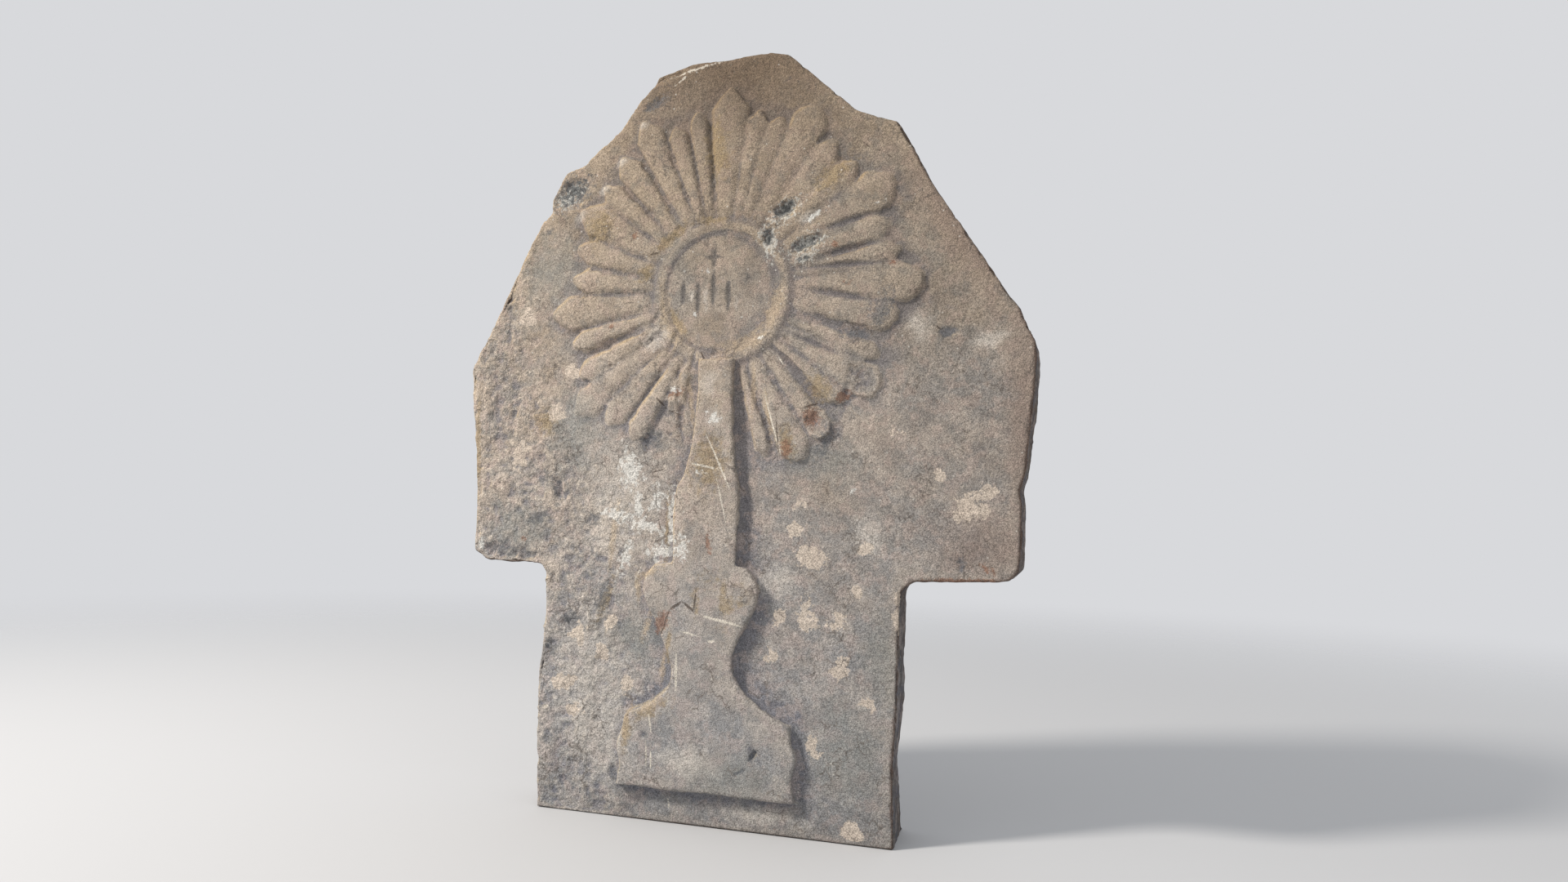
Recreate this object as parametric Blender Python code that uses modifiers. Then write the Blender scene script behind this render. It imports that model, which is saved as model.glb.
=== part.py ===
"""A broken sandstone cross slab with a sunburst on a stand carved on its face.

Metres, +Z up. The carved face looks towards -Y and the slab stands on its foot, cut off flat at
z = 0. X = 0 is midway between the ends of the arms, and Y = 0 is the middle of the whole depth.
"""

import math
import random

import bmesh
import bpy
from mathutils import Matrix, Vector

NAME = "stone_cross"
MM = 0.001

# Slab
HEIGHT = 0.900          # foot to the highest point of the broken head
SPAN = 0.700            # across both arms
POST_LEFT = 0.232       # left side of the post, from the middle of the arms
POST_RIGHT = 0.205      # right side of the post, from the middle of the arms
UNDERSIDE = 0.288       # height of the arms' undersides
WIDEST = 0.530          # height where the arms' ends meet the broken head
END_DRAW = 0.016        # how far the arms' ends draw in at their lower corners
CORNER_CUT = 0.013      # worn off the arms' lower corners
CORNER_FILL = 0.016     # stone left in the corners between the post and the undersides
THICKNESS = 0.085       # slab, behind the carving
POST_LEAN = 0.007       # how far the post's sides draw in towards the back
ARM_LEAN = 0.002        # the same for the arms and the head
ARRIS = 0.0035          # worn edge round the face
BACK_ARRIS = 0.011      # rougher worn edge round the back
FOOT_EDGE = 0.008       # height up to which the worn edges have run out, where the foot is cut off
FOOT_HOLLOW = 0.0003    # how much the foot's ends are hollow, so that its corners carry the slab

# Sunburst
SUN_X = -0.0125
SUN_Z = 0.614
DISC_RADIUS = 0.071     # sunk disc inside the ring
DISC_RISE = 0.003       # disc above the slab's face
RING_WIDTH = 0.019
RING_RISE = 0.0075      # ring's crest above the slab's face
SKIRT_RISE = 0.0042     # raised ground between the rays, where they leave the ring
SKIRT_REACH = 0.165     # where that ground has run out
LONG_RAY = 0.246        # sun's middle to the tip of the longest ray
RAY_RISE = 0.0090       # ray's back above the slab's face, at its highest
RAY_FULLNESS = 1.2      # width over the spread given for each ray, for the slope of its sides
RAY_STAGGER = 0.0003    # how much lower each of three neighbouring rays lies than the one before
RING_STEPS = 48

# Strokes cut in the disc, with a small plain cross above them
STROKE_WIDTH = 0.006
STROKE_DEPTH = 0.0022
STROKE_SPACING = 0.019
CROSS_HEIGHT = 0.030
CROSS_WIDTH = 0.019

# Stand under the sunburst
STAND_X = -0.014
STAND_RISE = 0.0135     # stand's face above the slab's face
STEM_TOP = 0.535        # under the ring
STEM_WIDTH = 0.044
PILLAR_TOP = 0.385      # where the stem has widened into its lower part
PILLAR_WIDTH = 0.078
KNOP_TOP = 0.298
KNOP_WIDTH = 0.143
KNOP_SHIFT = -0.011     # the knop sits left of the stem
NECK = 0.174
NECK_WIDTH = 0.077
FOOT_TOP = 0.122
FOOT_BOTTOM = 0.0385
FOOT_WIDTH = 0.220
STAND_ARRIS = 0.0035

BURY = 0.006            # how deep the carving's solids reach into the slab
CUT_BELOW = 0.020       # slab left below the ground before the foot is cut off flat

FACE_Y = (max(STAND_RISE, RAY_RISE, RING_RISE) - THICKNESS) / 2

# Broken head, clockwise: share of the half span across, share of the way from WIDEST to the top.
HEAD_CORNERS = (
    (-1.000, 0.000), (-0.736, 0.495), (-0.703, 0.523), (-0.698, 0.577), (-0.648, 0.661),
    (-0.576, 0.682), (-0.302, 0.957), (-0.190, 0.987), (0.020, 0.996), (0.110, 1.000),
    (0.180, 0.985), (0.414, 0.787), (0.551, 0.741), (0.605, 0.654), (0.996, 0.050),
)

# Where a worn edge leaves the straight line between its corners: share of its length, millimetres
# outwards.
HEAD_DENTS = {
    0: ((0.24, -1.5), (0.65, 0.6)),
    5: ((0.1, -2), (0.3, -5), (0.48, -7.5), (0.72, -2), (0.89, -3)),
    13: ((0.18, -3), (0.4, -1), (0.65, 1.5), (0.85, 4)),
}
LEFT_POST_DENTS = ((0.17, 1), (0.35, 3), (0.52, 3.4), (0.7, -1.5), (0.87, -5), (0.97, -3))
LEFT_END_DENTS = ((0.21, -2.9), (0.43, -3.1), (0.65, -2.3), (0.85, 0.5))
RIGHT_END_DENTS = ((0.15, 0.5), (0.35, -0.7), (0.55, -2.5), (0.62, -7), (0.68, -3), (0.88, 0))
RIGHT_POST_DENTS = ((0.45, 0.5), (0.7, -3.5))

# Rays, clockwise from the top: angle, reach as a share of the longest, half spread in degrees, how
# blunt the tip is worn, from 0 for a clean gable to 1, and how much of its height the tip has kept.
RAYS = (
    (1.5, 1.00, 5.1, 0.1, 0.9), (11.3, 0.89, 3.2, 0.2, 0.8), (18.3, 0.88, 3.5, 0.2, 0.7),
    (27.8, 0.97, 4.9, 0.8, 0.6), (38.0, 0.88, 4.4, 0.3, 0.6), (47.8, 0.87, 4.2, 0.3, 0.7),
    (59.0, 0.96, 5.5, 0.6, 0.5), (70.0, 0.86, 4.4, 0.4, 0.4), (78.6, 0.88, 3.8, 0.4, 0.4),
    (88.5, 0.97, 5.2, 0.6, 0.9), (99.0, 0.87, 4.8, 0.5, 0.6), (112.3, 0.83, 2.8, 0.3, 0.4),
    (121.5, 0.90, 4.8, 0.9, 0.8), (131.0, 0.80, 2.8, 0.4, 0.5), (142.0, 0.87, 3.5, 0.9, 0.9),
    (152.5, 0.90, 4.5, 0.5, 0.7), (162.5, 0.81, 2.5, 0.3, 0.5), (203.0, 0.60, 4.2, 0.9, 0.4),
    (212.3, 0.83, 3.6, 0.3, 0.4), (222.7, 0.85, 4.1, 0.3, 0.5), (232.7, 0.95, 4.3, 0.2, 0.4),
    (241.6, 0.84, 3.7, 0.2, 0.7), (253.0, 0.81, 3.5, 0.4, 0.7), (264.3, 0.90, 5.2, 0.2, 0.9),
    (276.5, 0.80, 4.4, 0.2, 0.9), (287.8, 0.81, 4.5, 0.2, 0.9), (300.0, 0.88, 5.4, 0.1, 1.0),
    (311.0, 0.84, 3.6, 0.2, 1.0), (321.5, 0.88, 4.0, 0.2, 1.0), (333.0, 0.97, 4.0, 0.1, 1.0),
    (342.3, 0.87, 3.0, 0.2, 0.9), (350.3, 0.90, 2.8, 0.2, 0.9),
)

# Spalls and chips, in millimetres: x, z, half width, half height, depth, then the turn in degrees
# and how high the surface that each one bites into stands above the slab's face, in metres.
SCARS = {
    "head_spall": (-222, 750, 30, 26, 3, 25, 0.0),
    "knop_spall": (-82, 232, 13, 28, 5, -35, STAND_RISE),
    "foot_nick": (-126, 62, 9, 13, 6, 0, STAND_RISE),
    "foot_chip": (48, 88, 6, 16, 3, -40, STAND_RISE),
    "low_ray_break": (108, 460, 18, 21, 6, 20, RAY_RISE),
    "right_ray_break": (168, 508, 31, 34, 5, -20, RAY_RISE),
    "ring_pit_outer": (64, 709, 16, 10, 5, -20, 0.5 * RAY_RISE),
    "ring_pit_inner": (45, 676, 9, 14, 4, 30, 0.7 * RING_RISE),
    "ray_pit_long": (88, 668, 22, 7, 5, -18, 0.5 * RAY_RISE),
}
SCAR_ROUGHNESS = 0.18   # how unevenly a scar's hollow is broken, as a share of its size
SCAR_SEED = 7

SANDSTONE = (0.30, 0.25, 0.20, 1.0)
SANDSTONE_ROUGHNESS = 0.93


def between(start, end, share):
    return start + (end - start) * share


def clear_scene():
    for old in list(bpy.data.objects):
        bpy.data.objects.remove(old)


def new_collection(name):
    collection = bpy.data.collections.new(name)
    bpy.context.scene.collection.children.link(collection)
    return collection


def sandstone():
    material = bpy.data.materials.new("sandstone")
    material.use_nodes = True
    shader = material.node_tree.nodes["Principled BSDF"]
    shader.inputs["Base Color"].default_value = SANDSTONE
    shader.inputs["Roughness"].default_value = SANDSTONE_ROUGHNESS
    shader.inputs["Metallic"].default_value = 0.0
    material.diffuse_color = SANDSTONE
    return material


def add_mesh(name, bm, collection, material):
    """Makes an object of the bmesh, with its faces turned outwards."""
    bmesh.ops.recalc_face_normals(bm, faces=bm.faces)
    mesh = bpy.data.meshes.new(name)
    bm.to_mesh(mesh)
    bm.free()
    mesh.materials.append(material)
    result = bpy.data.objects.new(name, mesh)
    collection.objects.link(result)
    return result


def hide_helper(helper):
    helper.hide_render = True
    helper.display_type = "WIRE"


def loft(name, sections, collection, material):
    """Joins sections of equally many points one after the other, and caps both ends."""
    bm = bmesh.new()
    rings = [[bm.verts.new(point) for point in section] for section in sections]
    for near, far in zip(rings, rings[1:]):
        for i in range(len(near)):
            following = (i + 1) % len(near)
            bm.faces.new((near[i], near[following], far[following], far[i]))
    bm.faces.new(rings[0])
    bm.faces.new(reversed(rings[-1]))
    return add_mesh(name, bm, collection, material)


def worn_edge(start, end, dents):
    """The points from one corner up to the next, with the dents that wear has made between them."""
    start, end = Vector(start), Vector(end)
    along = end - start
    outwards = Vector((-along.y, along.x)).normalized()
    return [start] + [start + along * share + outwards * offset * MM for share, offset in dents]


def slab_outline():
    """The slab's outline seen from the front, clockwise from the foot's left corner."""
    half = SPAN / 2
    head = [(across * half, WIDEST + up * (HEIGHT - WIDEST)) for across, up in HEAD_CORNERS]
    low_end = half - END_DRAW
    edges = [
        ((-POST_LEFT, -CUT_BELOW), ()),
        ((-POST_LEFT, 0), ()),
        ((-POST_LEFT, FOOT_EDGE), LEFT_POST_DENTS),
        ((-POST_LEFT - 0.3 * CORNER_FILL, UNDERSIDE - 0.1 * CORNER_FILL), ()),
        ((-POST_LEFT - CORNER_FILL, UNDERSIDE), ()),
        ((-low_end + 1.4 * CORNER_CUT, UNDERSIDE + 0.1 * CORNER_CUT), ()),
        ((-low_end + 0.8 * CORNER_CUT, UNDERSIDE + 0.6 * CORNER_CUT), ()),
        ((-low_end, UNDERSIDE + 1.1 * CORNER_CUT), LEFT_END_DENTS),
    ]
    edges += [(point, HEAD_DENTS.get(i, ())) for i, point in enumerate(head)]
    edges += [
        ((half, WIDEST), RIGHT_END_DENTS),
        ((low_end, UNDERSIDE + 1.1 * CORNER_CUT), ()),
        ((low_end - 0.8 * CORNER_CUT, UNDERSIDE + 0.3 * CORNER_CUT), ()),
        ((low_end - 2 * CORNER_CUT, UNDERSIDE + 0.1 * CORNER_CUT), ()),
        ((POST_RIGHT + CORNER_FILL, UNDERSIDE - 0.1 * CORNER_FILL), ()),
        ((POST_RIGHT + 0.45 * CORNER_FILL, UNDERSIDE - 0.5 * CORNER_FILL), ()),
        ((POST_RIGHT + 0.1 * CORNER_FILL, UNDERSIDE - CORNER_FILL), RIGHT_POST_DENTS),
        ((POST_RIGHT, FOOT_EDGE), ()),
        ((POST_RIGHT, 0), ()),
        ((POST_RIGHT, -CUT_BELOW), ()),
    ]
    points = []
    for (start, dents), (end, _) in zip(edges, edges[1:] + edges[:1]):
        points += worn_edge(start, end, dents)
    return points


def drawn_in(outline, distances):
    """The outline with each point moved inwards by its own distance, square to the edges there."""
    moved = []
    for i, (point, distance) in enumerate(zip(outline, distances)):
        before = (point - outline[i - 1]).normalized()
        after = (outline[(i + 1) % len(outline)] - point).normalized()
        inwards = Vector((before.y, -before.x)) + Vector((after.y, -after.x))
        square = inwards.normalized()
        lengthen = 1 / max(0.5, square.dot(Vector((before.y, -before.x))))
        moved.append(point + square * distance * lengthen)
    return moved


def lean(point):
    return POST_LEAN if point.y < UNDERSIDE else ARM_LEAN


def make_slab(collection, material):
    """The slab: the face's outline with a worn arris, drawn in a little towards the back."""
    outline = slab_outline()
    # Depth, how far the outline is drawn in, the same at the foot, and whether the sides lean there.
    rings = (
        (0.0, 1.1 * ARRIS, 0.0, False),
        (0.3 * ARRIS, 0.4 * ARRIS, FOOT_HOLLOW, False),
        (1.2 * ARRIS, 0.0, 2 * FOOT_HOLLOW, False),
        (THICKNESS - BACK_ARRIS, 0.0, 0.0, True),
        (THICKNESS - 0.3 * BACK_ARRIS, 0.4 * BACK_ARRIS, 0.0, True),
        (THICKNESS, BACK_ARRIS, 0.0, True),
    )
    sections = []
    for depth, worn, at_foot, leaning in rings:
        distances = []
        for point in outline:
            distance = worn if point.y > 0.5 * FOOT_EDGE else at_foot
            distances.append(distance + (lean(point) if leaning else 0.0))
        ring = drawn_in(outline, distances)
        sections.append([(point.x, FACE_Y + depth, point.y) for point in ring])
    return loft(NAME, sections, collection, material)


def make_ring(collection, material):
    """The disc, the ring and the ground round it: one turned profile, square to the slab's face."""
    middle = DISC_RADIUS + RING_WIDTH / 2
    half = RING_WIDTH / 2
    profile = [
        (0.0, DISC_RISE),
        (DISC_RADIUS - 0.002, DISC_RISE),
        (middle - 0.5 * half, 0.88 * RING_RISE),
        (middle, RING_RISE),
        (middle + 0.5 * half, 0.9 * RING_RISE),
        (middle + half, SKIRT_RISE),
        (SKIRT_REACH, -0.1 * SKIRT_RISE),
        (SKIRT_REACH, -BURY),
        (0.0, -BURY),
    ]
    mesh = bpy.data.meshes.new("ring")
    edges = [(i, i + 1) for i in range(len(profile) - 1)]
    mesh.from_pydata([(radius, 0, rise) for radius, rise in profile], edges, [])
    mesh.materials.append(material)
    ring = bpy.data.objects.new("ring", mesh)
    ring.location = (SUN_X, FACE_Y, SUN_Z)
    ring.rotation_euler = (math.radians(90), 0, 0)
    turn = ring.modifiers.new("turn", "SCREW")
    turn.axis = "Z"
    turn.steps = RING_STEPS
    turn.render_steps = RING_STEPS
    turn.use_smooth_shade = False
    turn.use_merge_vertices = True
    turn.merge_threshold = 0.0001
    collection.objects.link(ring)


def ray_section(middle, across, half_width, rise):
    """A ray's cross-section: a rounded back on steep sides that run down into the slab."""
    section = [middle - across * half_width + Vector((0, BURY, 0))]
    for share in (-1.0, -0.8, -0.42, 0.0, 0.42, 0.8, 1.0):
        height = rise * (1 - abs(share) ** 4) ** 0.6
        section.append(middle + across * half_width * share - Vector((0, height, 0)))
    section.append(middle + across * half_width + Vector((0, BURY, 0)))
    return section


def make_ray(index, ray, collection, material):
    """A ray: narrow and low where it leaves the ring, widest before its gabled or worn tip."""
    angle, reach, spread, blunt, kept = ray
    turned = math.radians(angle)
    outwards = Vector((math.sin(turned), 0, math.cos(turned)))
    across = Vector((math.cos(turned), 0, -math.sin(turned)))
    start = DISC_RADIUS + RING_WIDTH / 2
    tip = reach * LONG_RAY
    widest = RAY_FULLNESS * tip * math.tan(math.radians(spread))
    gable = (1.1 - 0.5 * blunt) * widest
    shoulder = tip - gable
    stations = (
        (start, 0.36 * widest, 0.6),
        (between(start, shoulder, 0.25), 0.52 * widest, 0.78),
        (between(start, shoulder, 0.6), 0.78 * widest, 0.93),
        (shoulder, widest, between(kept, 1.0, 0.75)),
        (tip - 0.45 * gable, (0.55 + 0.3 * blunt) * widest, between(kept, 1.0, 0.4)),
        (tip, (0.1 + 0.37 * blunt) * widest, 0.9 * kept),
    )
    hub = Vector((SUN_X, FACE_Y + RAY_STAGGER * (index % 3), SUN_Z))
    sections = []
    for radius, half_width, share in stations:
        middle = hub + outwards * radius
        sections.append(ray_section(middle, across, half_width, share * RAY_RISE))
    loft(f"ray_{index:02d}", sections, collection, material)


def stand_profile():
    """Half the stand's outline, top to foot: level, half width, shift of its middle, corner."""
    stem, pillar, knop = STEM_WIDTH / 2, PILLAR_WIDTH / 2, KNOP_WIDTH / 2
    neck, foot = NECK_WIDTH / 2, FOOT_WIDTH / 2
    return (
        (STEM_TOP, stem, 0.0, True),
        (between(STEM_TOP, PILLAR_TOP, 0.55), between(stem, pillar, 0.18), 0.0, False),
        (between(STEM_TOP, PILLAR_TOP, 0.87), between(stem, pillar, 0.62), 0.25 * KNOP_SHIFT, False),
        (PILLAR_TOP, pillar, 0.5 * KNOP_SHIFT, False),
        (KNOP_TOP, pillar, 0.6 * KNOP_SHIFT, True),
        (between(KNOP_TOP, NECK, 0.015), 0.80 * knop, KNOP_SHIFT, True),
        (between(KNOP_TOP, NECK, 0.18), knop, KNOP_SHIFT, False),
        (between(KNOP_TOP, NECK, 0.45), between(neck, knop, 0.76), KNOP_SHIFT, False),
        (between(KNOP_TOP, NECK, 0.75), between(neck, knop, 0.18), 0.9 * KNOP_SHIFT, False),
        (NECK, neck, 0.4 * KNOP_SHIFT, False),
        (between(NECK, FOOT_TOP, 0.4), between(neck, foot, 0.15), 0.0, False),
        (FOOT_TOP, 0.92 * foot, 0.0, True),
        (between(FOOT_TOP, FOOT_BOTTOM, 0.2), 0.94 * foot, 0.0, False),
        (between(FOOT_TOP, FOOT_BOTTOM, 0.42), foot, 0.0, False),
        (between(FOOT_TOP, FOOT_BOTTOM, 0.7), 0.96 * foot, 0.0, False),
        (FOOT_BOTTOM, foot, 0.0, True),
    )


def make_stand(collection, material):
    """The stand: a flat outline with round stretches, and a worn arris on its face."""
    rows = stand_profile()
    points = [(STAND_X + shift + half, level, corner) for level, half, shift, corner in rows]
    points += [
        (STAND_X + shift - half, level, corner) for level, half, shift, corner in reversed(rows)
    ]
    curve = bpy.data.curves.new("stand_outline", "CURVE")
    curve.dimensions = "2D"
    curve.fill_mode = "BOTH"
    curve.extrude = (STAND_RISE + BURY) / 2
    curve.resolution_u = 3
    spline = curve.splines.new("BEZIER")
    spline.bezier_points.add(len(points) - 1)
    spline.use_cyclic_u = True
    for place, (x, z, corner) in zip(spline.bezier_points, points):
        place.co = (x, z, 0)
        place.handle_left_type = place.handle_right_type = "VECTOR" if corner else "AUTO"
    outline = bpy.data.objects.new("stand_outline", curve)
    outline.location = (0, FACE_Y + (BURY - STAND_RISE) / 2, 0)
    outline.rotation_euler = (math.radians(90), 0, 0)
    collection.objects.link(outline)
    bpy.context.view_layer.update()
    graph = bpy.context.evaluated_depsgraph_get()
    mesh = bpy.data.meshes.new_from_object(outline.evaluated_get(graph))
    bm = bmesh.new()
    bm.from_mesh(mesh)
    bmesh.ops.transform(bm, matrix=outline.matrix_world, verts=bm.verts)
    bmesh.ops.remove_doubles(bm, verts=bm.verts, dist=0.00001)
    bpy.data.objects.remove(outline)
    front = FACE_Y - STAND_RISE
    rim = [
        edge for edge in bm.edges
        if all(abs(vert.co.y - front) < 0.1 * MM for vert in edge.verts)
        and edge.calc_face_angle(0) > math.radians(60)
    ]
    bmesh.ops.bevel(bm, geom=rim, offset=STAND_ARRIS, segments=2, profile=0.5, affect="EDGES")
    add_mesh("stand", bm, collection, material)


def make_stroke(name, x, z, width, length, collection, material):
    """A shallow boat-shaped groove in the disc, for the chisel strokes and the small cross."""
    bm = bmesh.new()
    place = Matrix.Translation((x, FACE_Y - DISC_RISE, z))
    size = Matrix.Diagonal((width / 2, STROKE_DEPTH, length / 2, 1))
    bmesh.ops.create_uvsphere(bm, u_segments=8, v_segments=6, radius=1, matrix=place @ size)
    hide_helper(add_mesh(name, bm, collection, material))


def make_strokes(collection, material):
    """Four upright strokes of unlike lengths below a small plain cross."""
    strokes = ((-2, 0.0, 0.025), (-1, -0.004, 0.040), (0, 0.004, 0.040), (1, -0.003, 0.032))
    for i, (place, shift, length) in enumerate(strokes):
        x = SUN_X - 0.010 + place * STROKE_SPACING
        make_stroke(f"stroke_{i}", x, SUN_Z + shift, STROKE_WIDTH, length, collection, material)
    x, z = SUN_X - 0.010, SUN_Z + 0.55 * DISC_RADIUS
    width = 0.8 * STROKE_WIDTH
    make_stroke("cross_upright", x, z, width, CROSS_HEIGHT, collection, material)
    make_stroke("cross_bar", x, z + 0.1 * CROSS_HEIGHT, CROSS_WIDTH, width, collection, material)


def make_scars(collection, material):
    """Spalls and chips: uneven flattened balls, each with its middle above the surface it bites."""
    uneven = random.Random(SCAR_SEED)
    for name, (x, z, half_width, half_height, depth, turn, level) in SCARS.items():
        bm = bmesh.new()
        place = Matrix.Translation((x * MM, FACE_Y - level - 0.5 * depth * MM, z * MM))
        turned = Matrix.Rotation(math.radians(turn), 4, "Y")
        size = Matrix.Diagonal((half_width * MM, 1.5 * depth * MM, half_height * MM, 1))
        matrix = place @ turned @ size
        bmesh.ops.create_icosphere(bm, subdivisions=2, radius=1)
        for vert in bm.verts:
            vert.co *= 1 + uneven.uniform(-SCAR_ROUGHNESS, SCAR_ROUGHNESS)
        bmesh.ops.transform(bm, matrix=matrix, verts=bm.verts)
        hide_helper(add_mesh(name, bm, collection, material))


def make_ground(collection, material):
    """The ground that cuts the foot off flat."""
    bm = bmesh.new()
    depth = 4 * CUT_BELOW
    place = Matrix.Translation((0, 0, -depth / 2))
    size = Matrix.Diagonal((2 * SPAN, 4 * THICKNESS, depth, 1))
    bmesh.ops.create_cube(bm, size=1, matrix=place @ size)
    hide_helper(add_mesh("ground", bm, collection, material))


def main():
    clear_scene()
    parts = new_collection(NAME)
    carving = new_collection("carving")
    cutters = new_collection("cutters")
    stone = sandstone()

    slab = make_slab(parts, stone)
    make_ring(carving, stone)
    make_stand(carving, stone)
    for index, ray in enumerate(RAYS):
        make_ray(index, ray, carving, stone)
    for solid in carving.objects:
        hide_helper(solid)
    make_strokes(cutters, stone)
    make_scars(cutters, stone)
    make_ground(cutters, stone)

    for name, operation, solids in (("carve", "UNION", carving), ("wear", "DIFFERENCE", cutters)):
        join = slab.modifiers.new(name, "BOOLEAN")
        join.operation = operation
        join.operand_type = "COLLECTION"
        join.collection = solids
        join.solver = "EXACT"


main()
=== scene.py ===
import math

import bmesh
import bpy
import numpy as np
from mathutils import Matrix, Vector


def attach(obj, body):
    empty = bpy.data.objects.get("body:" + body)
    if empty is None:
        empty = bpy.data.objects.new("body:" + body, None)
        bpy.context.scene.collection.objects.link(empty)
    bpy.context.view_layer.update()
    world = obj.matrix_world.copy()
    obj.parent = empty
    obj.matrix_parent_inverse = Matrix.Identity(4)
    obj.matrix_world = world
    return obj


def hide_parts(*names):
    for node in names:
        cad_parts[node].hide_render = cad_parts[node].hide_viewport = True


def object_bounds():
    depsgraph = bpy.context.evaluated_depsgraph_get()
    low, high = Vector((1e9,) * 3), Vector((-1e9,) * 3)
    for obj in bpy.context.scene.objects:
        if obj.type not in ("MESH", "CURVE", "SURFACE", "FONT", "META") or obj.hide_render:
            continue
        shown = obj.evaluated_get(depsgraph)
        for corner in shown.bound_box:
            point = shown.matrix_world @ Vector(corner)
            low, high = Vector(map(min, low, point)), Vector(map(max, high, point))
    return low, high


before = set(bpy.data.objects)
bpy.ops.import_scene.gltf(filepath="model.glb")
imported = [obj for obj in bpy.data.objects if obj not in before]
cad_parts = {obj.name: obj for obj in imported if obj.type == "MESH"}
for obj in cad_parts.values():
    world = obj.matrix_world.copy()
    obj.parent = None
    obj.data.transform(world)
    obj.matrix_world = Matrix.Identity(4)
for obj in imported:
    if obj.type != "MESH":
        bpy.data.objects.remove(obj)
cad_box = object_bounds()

MM = 0.001

# The camera: its place in metres, its turns in degrees, and its lens and sensor in millimetres.
# All but the sensor were worked out from the slab's straight edges in the photograph.
CAMERA_PLACE = Vector((0.4346, -1.1897, 0.3621))
CAMERA_TURN, CAMERA_LIFT, CAMERA_TILT = (math.radians(angle) for angle in (17.6, 3.7, 1.55))
CAMERA_LENS = 24.45
CAMERA_SENSOR = 36

# The key lamp, a round softbox at the upper left in front, in metres and watts.
KEY_PLACE = (-2.3, -1.9, 2.8)
KEY_AIM = (0, 0, 0.45)
KEY_WIDTH = 0.6
KEY_POWER = 152
KEY_COLOUR = "#FFF8F0"

# The floor, in metres. It lies a hair below the slab's foot and fades out between two radii.
FLOOR_RADIUS = 6.0
FLOOR_DROP = 0.0005
FLOOR_FADE = (0.8, 3.6)

# The stone's mesh: voxels in millimetres, and triangles left at the end. Then rounds of relaxing:
# for the worn carving, to find the broad hollows, and to spread the painted shadow beside the edges.
VOXEL = 1.9
TRIANGLES = 190000
WORN_ROUNDS, BROAD_ROUNDS, RIM_ROUNDS = 4, 50, 8

# The carving, in metres: the slab's face, the middle and reach of the sun, and its disc. What stands
# further out of the face than the rays is the stand, which isn't rubbed.
FACE_Y = -0.03575
SUN_X, SUN_Z, SUN_REACH, DISC_RADIUS = -0.0125, 0.614, 0.26, 0.071
RAYS_WITHIN = 0.010

# Painted shadow in bands round the disc and round its ring: radius and half width, in millimetres.
DISC_SHADOW = (71, 4)
RING_SHADOW = (87, 6)

# Wear in millimetres: what is taken off all over, and off the furrows. In metres, the height of
# the strip above the foot in which all wear runs out.
EVEN_WEAR = 0.15
FURROW_DEPTH = 2.6
FOOT_STRIP = 0.004

# Hollows worn or knocked into the face, in millimetres: x, z, half width, half height, turn in
# degrees, and depth.
HOLLOWS = (
    (-285, 302, 60, 17, -5, 3.2), (-221, 384, 8, 17, 15, 2.6), (-170, 345, 11, 8, 20, 2.2),
    (-150, 228, 9, 30, -22, 2.6), (-192, 222, 20, 15, 30, 2.2), (-222, 187, 9, 14, -20, 2.0),
    (-60, 478, 6, 50, 4, 3.2), (46, 88, 4, 9, -30, 2.6), (30, 68, 9, 3, 35, 1.2), (-88, 100, 5, 5, 0, 2.2),
    (-72, 555, 5, 26, -25, 2.0), (-92, 590, 4, 20, -40, 1.8), (-45, 535, 4, 18, -10, 1.8),
    (156, 507, 23, 22, 0, 2.0), (-217, 745, 29, 21, 35, 2.6), (63, 706, 17, 7, 32, 1.7),
    (88, 666, 20, 6, 18, 1.5), (45, 675, 7, 13, 15, 1.5), (253, 561, 15, 8, 10, 2.0),
    (-105, 850, 22, 8, 25, 1.5), (272, 309, 6, 10, 0, 1.5), (-132, 50, 9, 12, 0, 2.0),
    (-309, 464, 13, 60, 5, 1.5), (-285, 480, 9, 45, -4, 1.3), (-96, 439, 17, 14, 0, 1.6),
    (210, 640, 30, 12, -50, 1.2), (-92, 884, 44, 8, 16, 3.5), (-95, 560, 22, 14, 35, 1.6),
    (-200, 90, 25, 14, 20, 1.6), (-180, 140, 18, 12, -30, 1.6),
)

# Furrows that part the rays on the right, darkened with painted shade: x, z, half width, half height and
# turn in degrees.
FURROWS = (
    (140, 690, 46, 6, 16), (141, 658, 50, 6, 12), (132, 640, 62, 5, 2), (129, 607, 56, 6, -11),
    (106, 550, 49, 5, -23), (76, 528, 40, 4, -43),
)
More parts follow.
